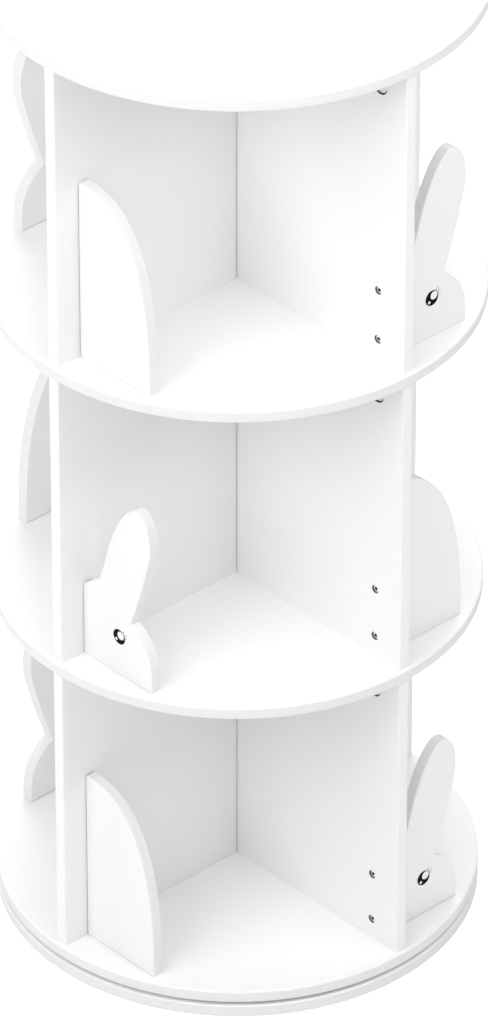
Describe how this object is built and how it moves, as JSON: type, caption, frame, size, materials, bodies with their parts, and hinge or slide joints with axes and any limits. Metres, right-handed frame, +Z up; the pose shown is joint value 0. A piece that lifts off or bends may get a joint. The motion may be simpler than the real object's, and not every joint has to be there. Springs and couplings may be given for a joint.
{
  "type": "rotating media tower",
  "caption": "Free-standing round tower of open shelves on crossed panels with rabbit-shaped end boards, turning on a hidden ball-bearing turntable.",
  "frame": {"origin": "on the floor, under the turning axis, at the middle of the foot pads' undersides", "axes": "+Z up along the turning axis; the crossed panels stand along X and Y; front is -Y and right is +X"},
  "size_m": [0.45, 0.45, 0.9832],
  "materials": {
    "white_board": "satin white paint on fibreboard",
    "aluminium_ring": "bare drawn aluminium",
    "zinc_cam": "die-cast, zinc bright",
    "steel_bolt": "zinc plated",
    "cage_nylon": "moulded nylon",
    "rubber_pad": "matt"
  },
  "bodies": {
    "base": {"foot_pad_1": "rubber_pad", "foot_pad_2": "rubber_pad", "foot_pad_3": "rubber_pad", "foot_pad_4": "rubber_pad", "foot_pad_5": "rubber_pad", "foot_pad_6": "rubber_pad", "base_board": "white_board", "turntable_outer_ring": "aluminium_ring"},
    "ball_cage": {"turntable_ball_cage": "cage_nylon"},
    "tower": {"turntable_inner_ring": "aluminium_ring", "shelf_bottom": "white_board", "shelf_lower": "white_board", "shelf_upper": "white_board", "shelf_top": "white_board", "lower_panel_left_right": "white_board", "lower_panel_front_back": "white_board", "lower_right_rabbit_board": "white_board", "lower_right_cam_lock": "zinc_cam", "lower_right_cam_bolt": "steel_bolt", "lower_back_rump_board": "white_board", "lower_back_cam_lock": "zinc_cam", "lower_back_cam_bolt": "steel_bolt", "lower_left_rabbit_board": "white_board", "lower_left_cam_lock": "zinc_cam", "lower_left_cam_bolt": "steel_bolt", "lower_front_rump_board": "white_board", "lower_front_cam_lock": "zinc_cam", "lower_front_cam_bolt": "steel_bolt", "middle_panel_left_right": "white_board", "middle_panel_front_back": "white_board", "middle_right_rump_board": "white_board", "middle_right_cam_lock": "zinc_cam", "middle_right_cam_bolt": "steel_bolt", "middle_back_rabbit_board": "white_board", "middle_back_cam_lock": "zinc_cam", "middle_back_cam_bolt": "steel_bolt", "middle_left_rump_board": "white_board", "middle_left_cam_lock": "zinc_cam", "middle_left_cam_bolt": "steel_bolt", "middle_front_rabbit_board": "white_board", "middle_front_cam_lock": "zinc_cam", "middle_front_cam_bolt": "steel_bolt", "upper_panel_left_right": "white_board", "upper_panel_front_back": "white_board", "upper_right_rabbit_board": "white_board", "upper_right_cam_lock": "zinc_cam", "upper_right_cam_bolt": "steel_bolt", "upper_back_rump_board": "white_board", "upper_back_cam_lock": "zinc_cam", "upper_back_cam_bolt": "steel_bolt", "upper_left_rabbit_board": "white_board", "upper_left_cam_lock": "zinc_cam", "upper_left_cam_bolt": "steel_bolt", "upper_front_rump_board": "white_board", "upper_front_cam_lock": "zinc_cam", "upper_front_cam_bolt": "steel_bolt"}
  },
  "joints": [
    {"name": "tower_spin", "type": "hinge", "parent": "base", "child": "tower", "pos_m": [0, 0, 0.0127], "axis": [0, 0, 1], "continuous": true},
    {"name": "cage_roll", "type": "hinge", "parent": "base", "child": "ball_cage", "pos_m": [0, 0, 0.0127], "axis": [0, 0, 1], "continuous": true}
  ],
  "couplings": [
    {"joint": "cage_roll", "follows": "tower_spin", "ratio": 0.4908}
  ]
}
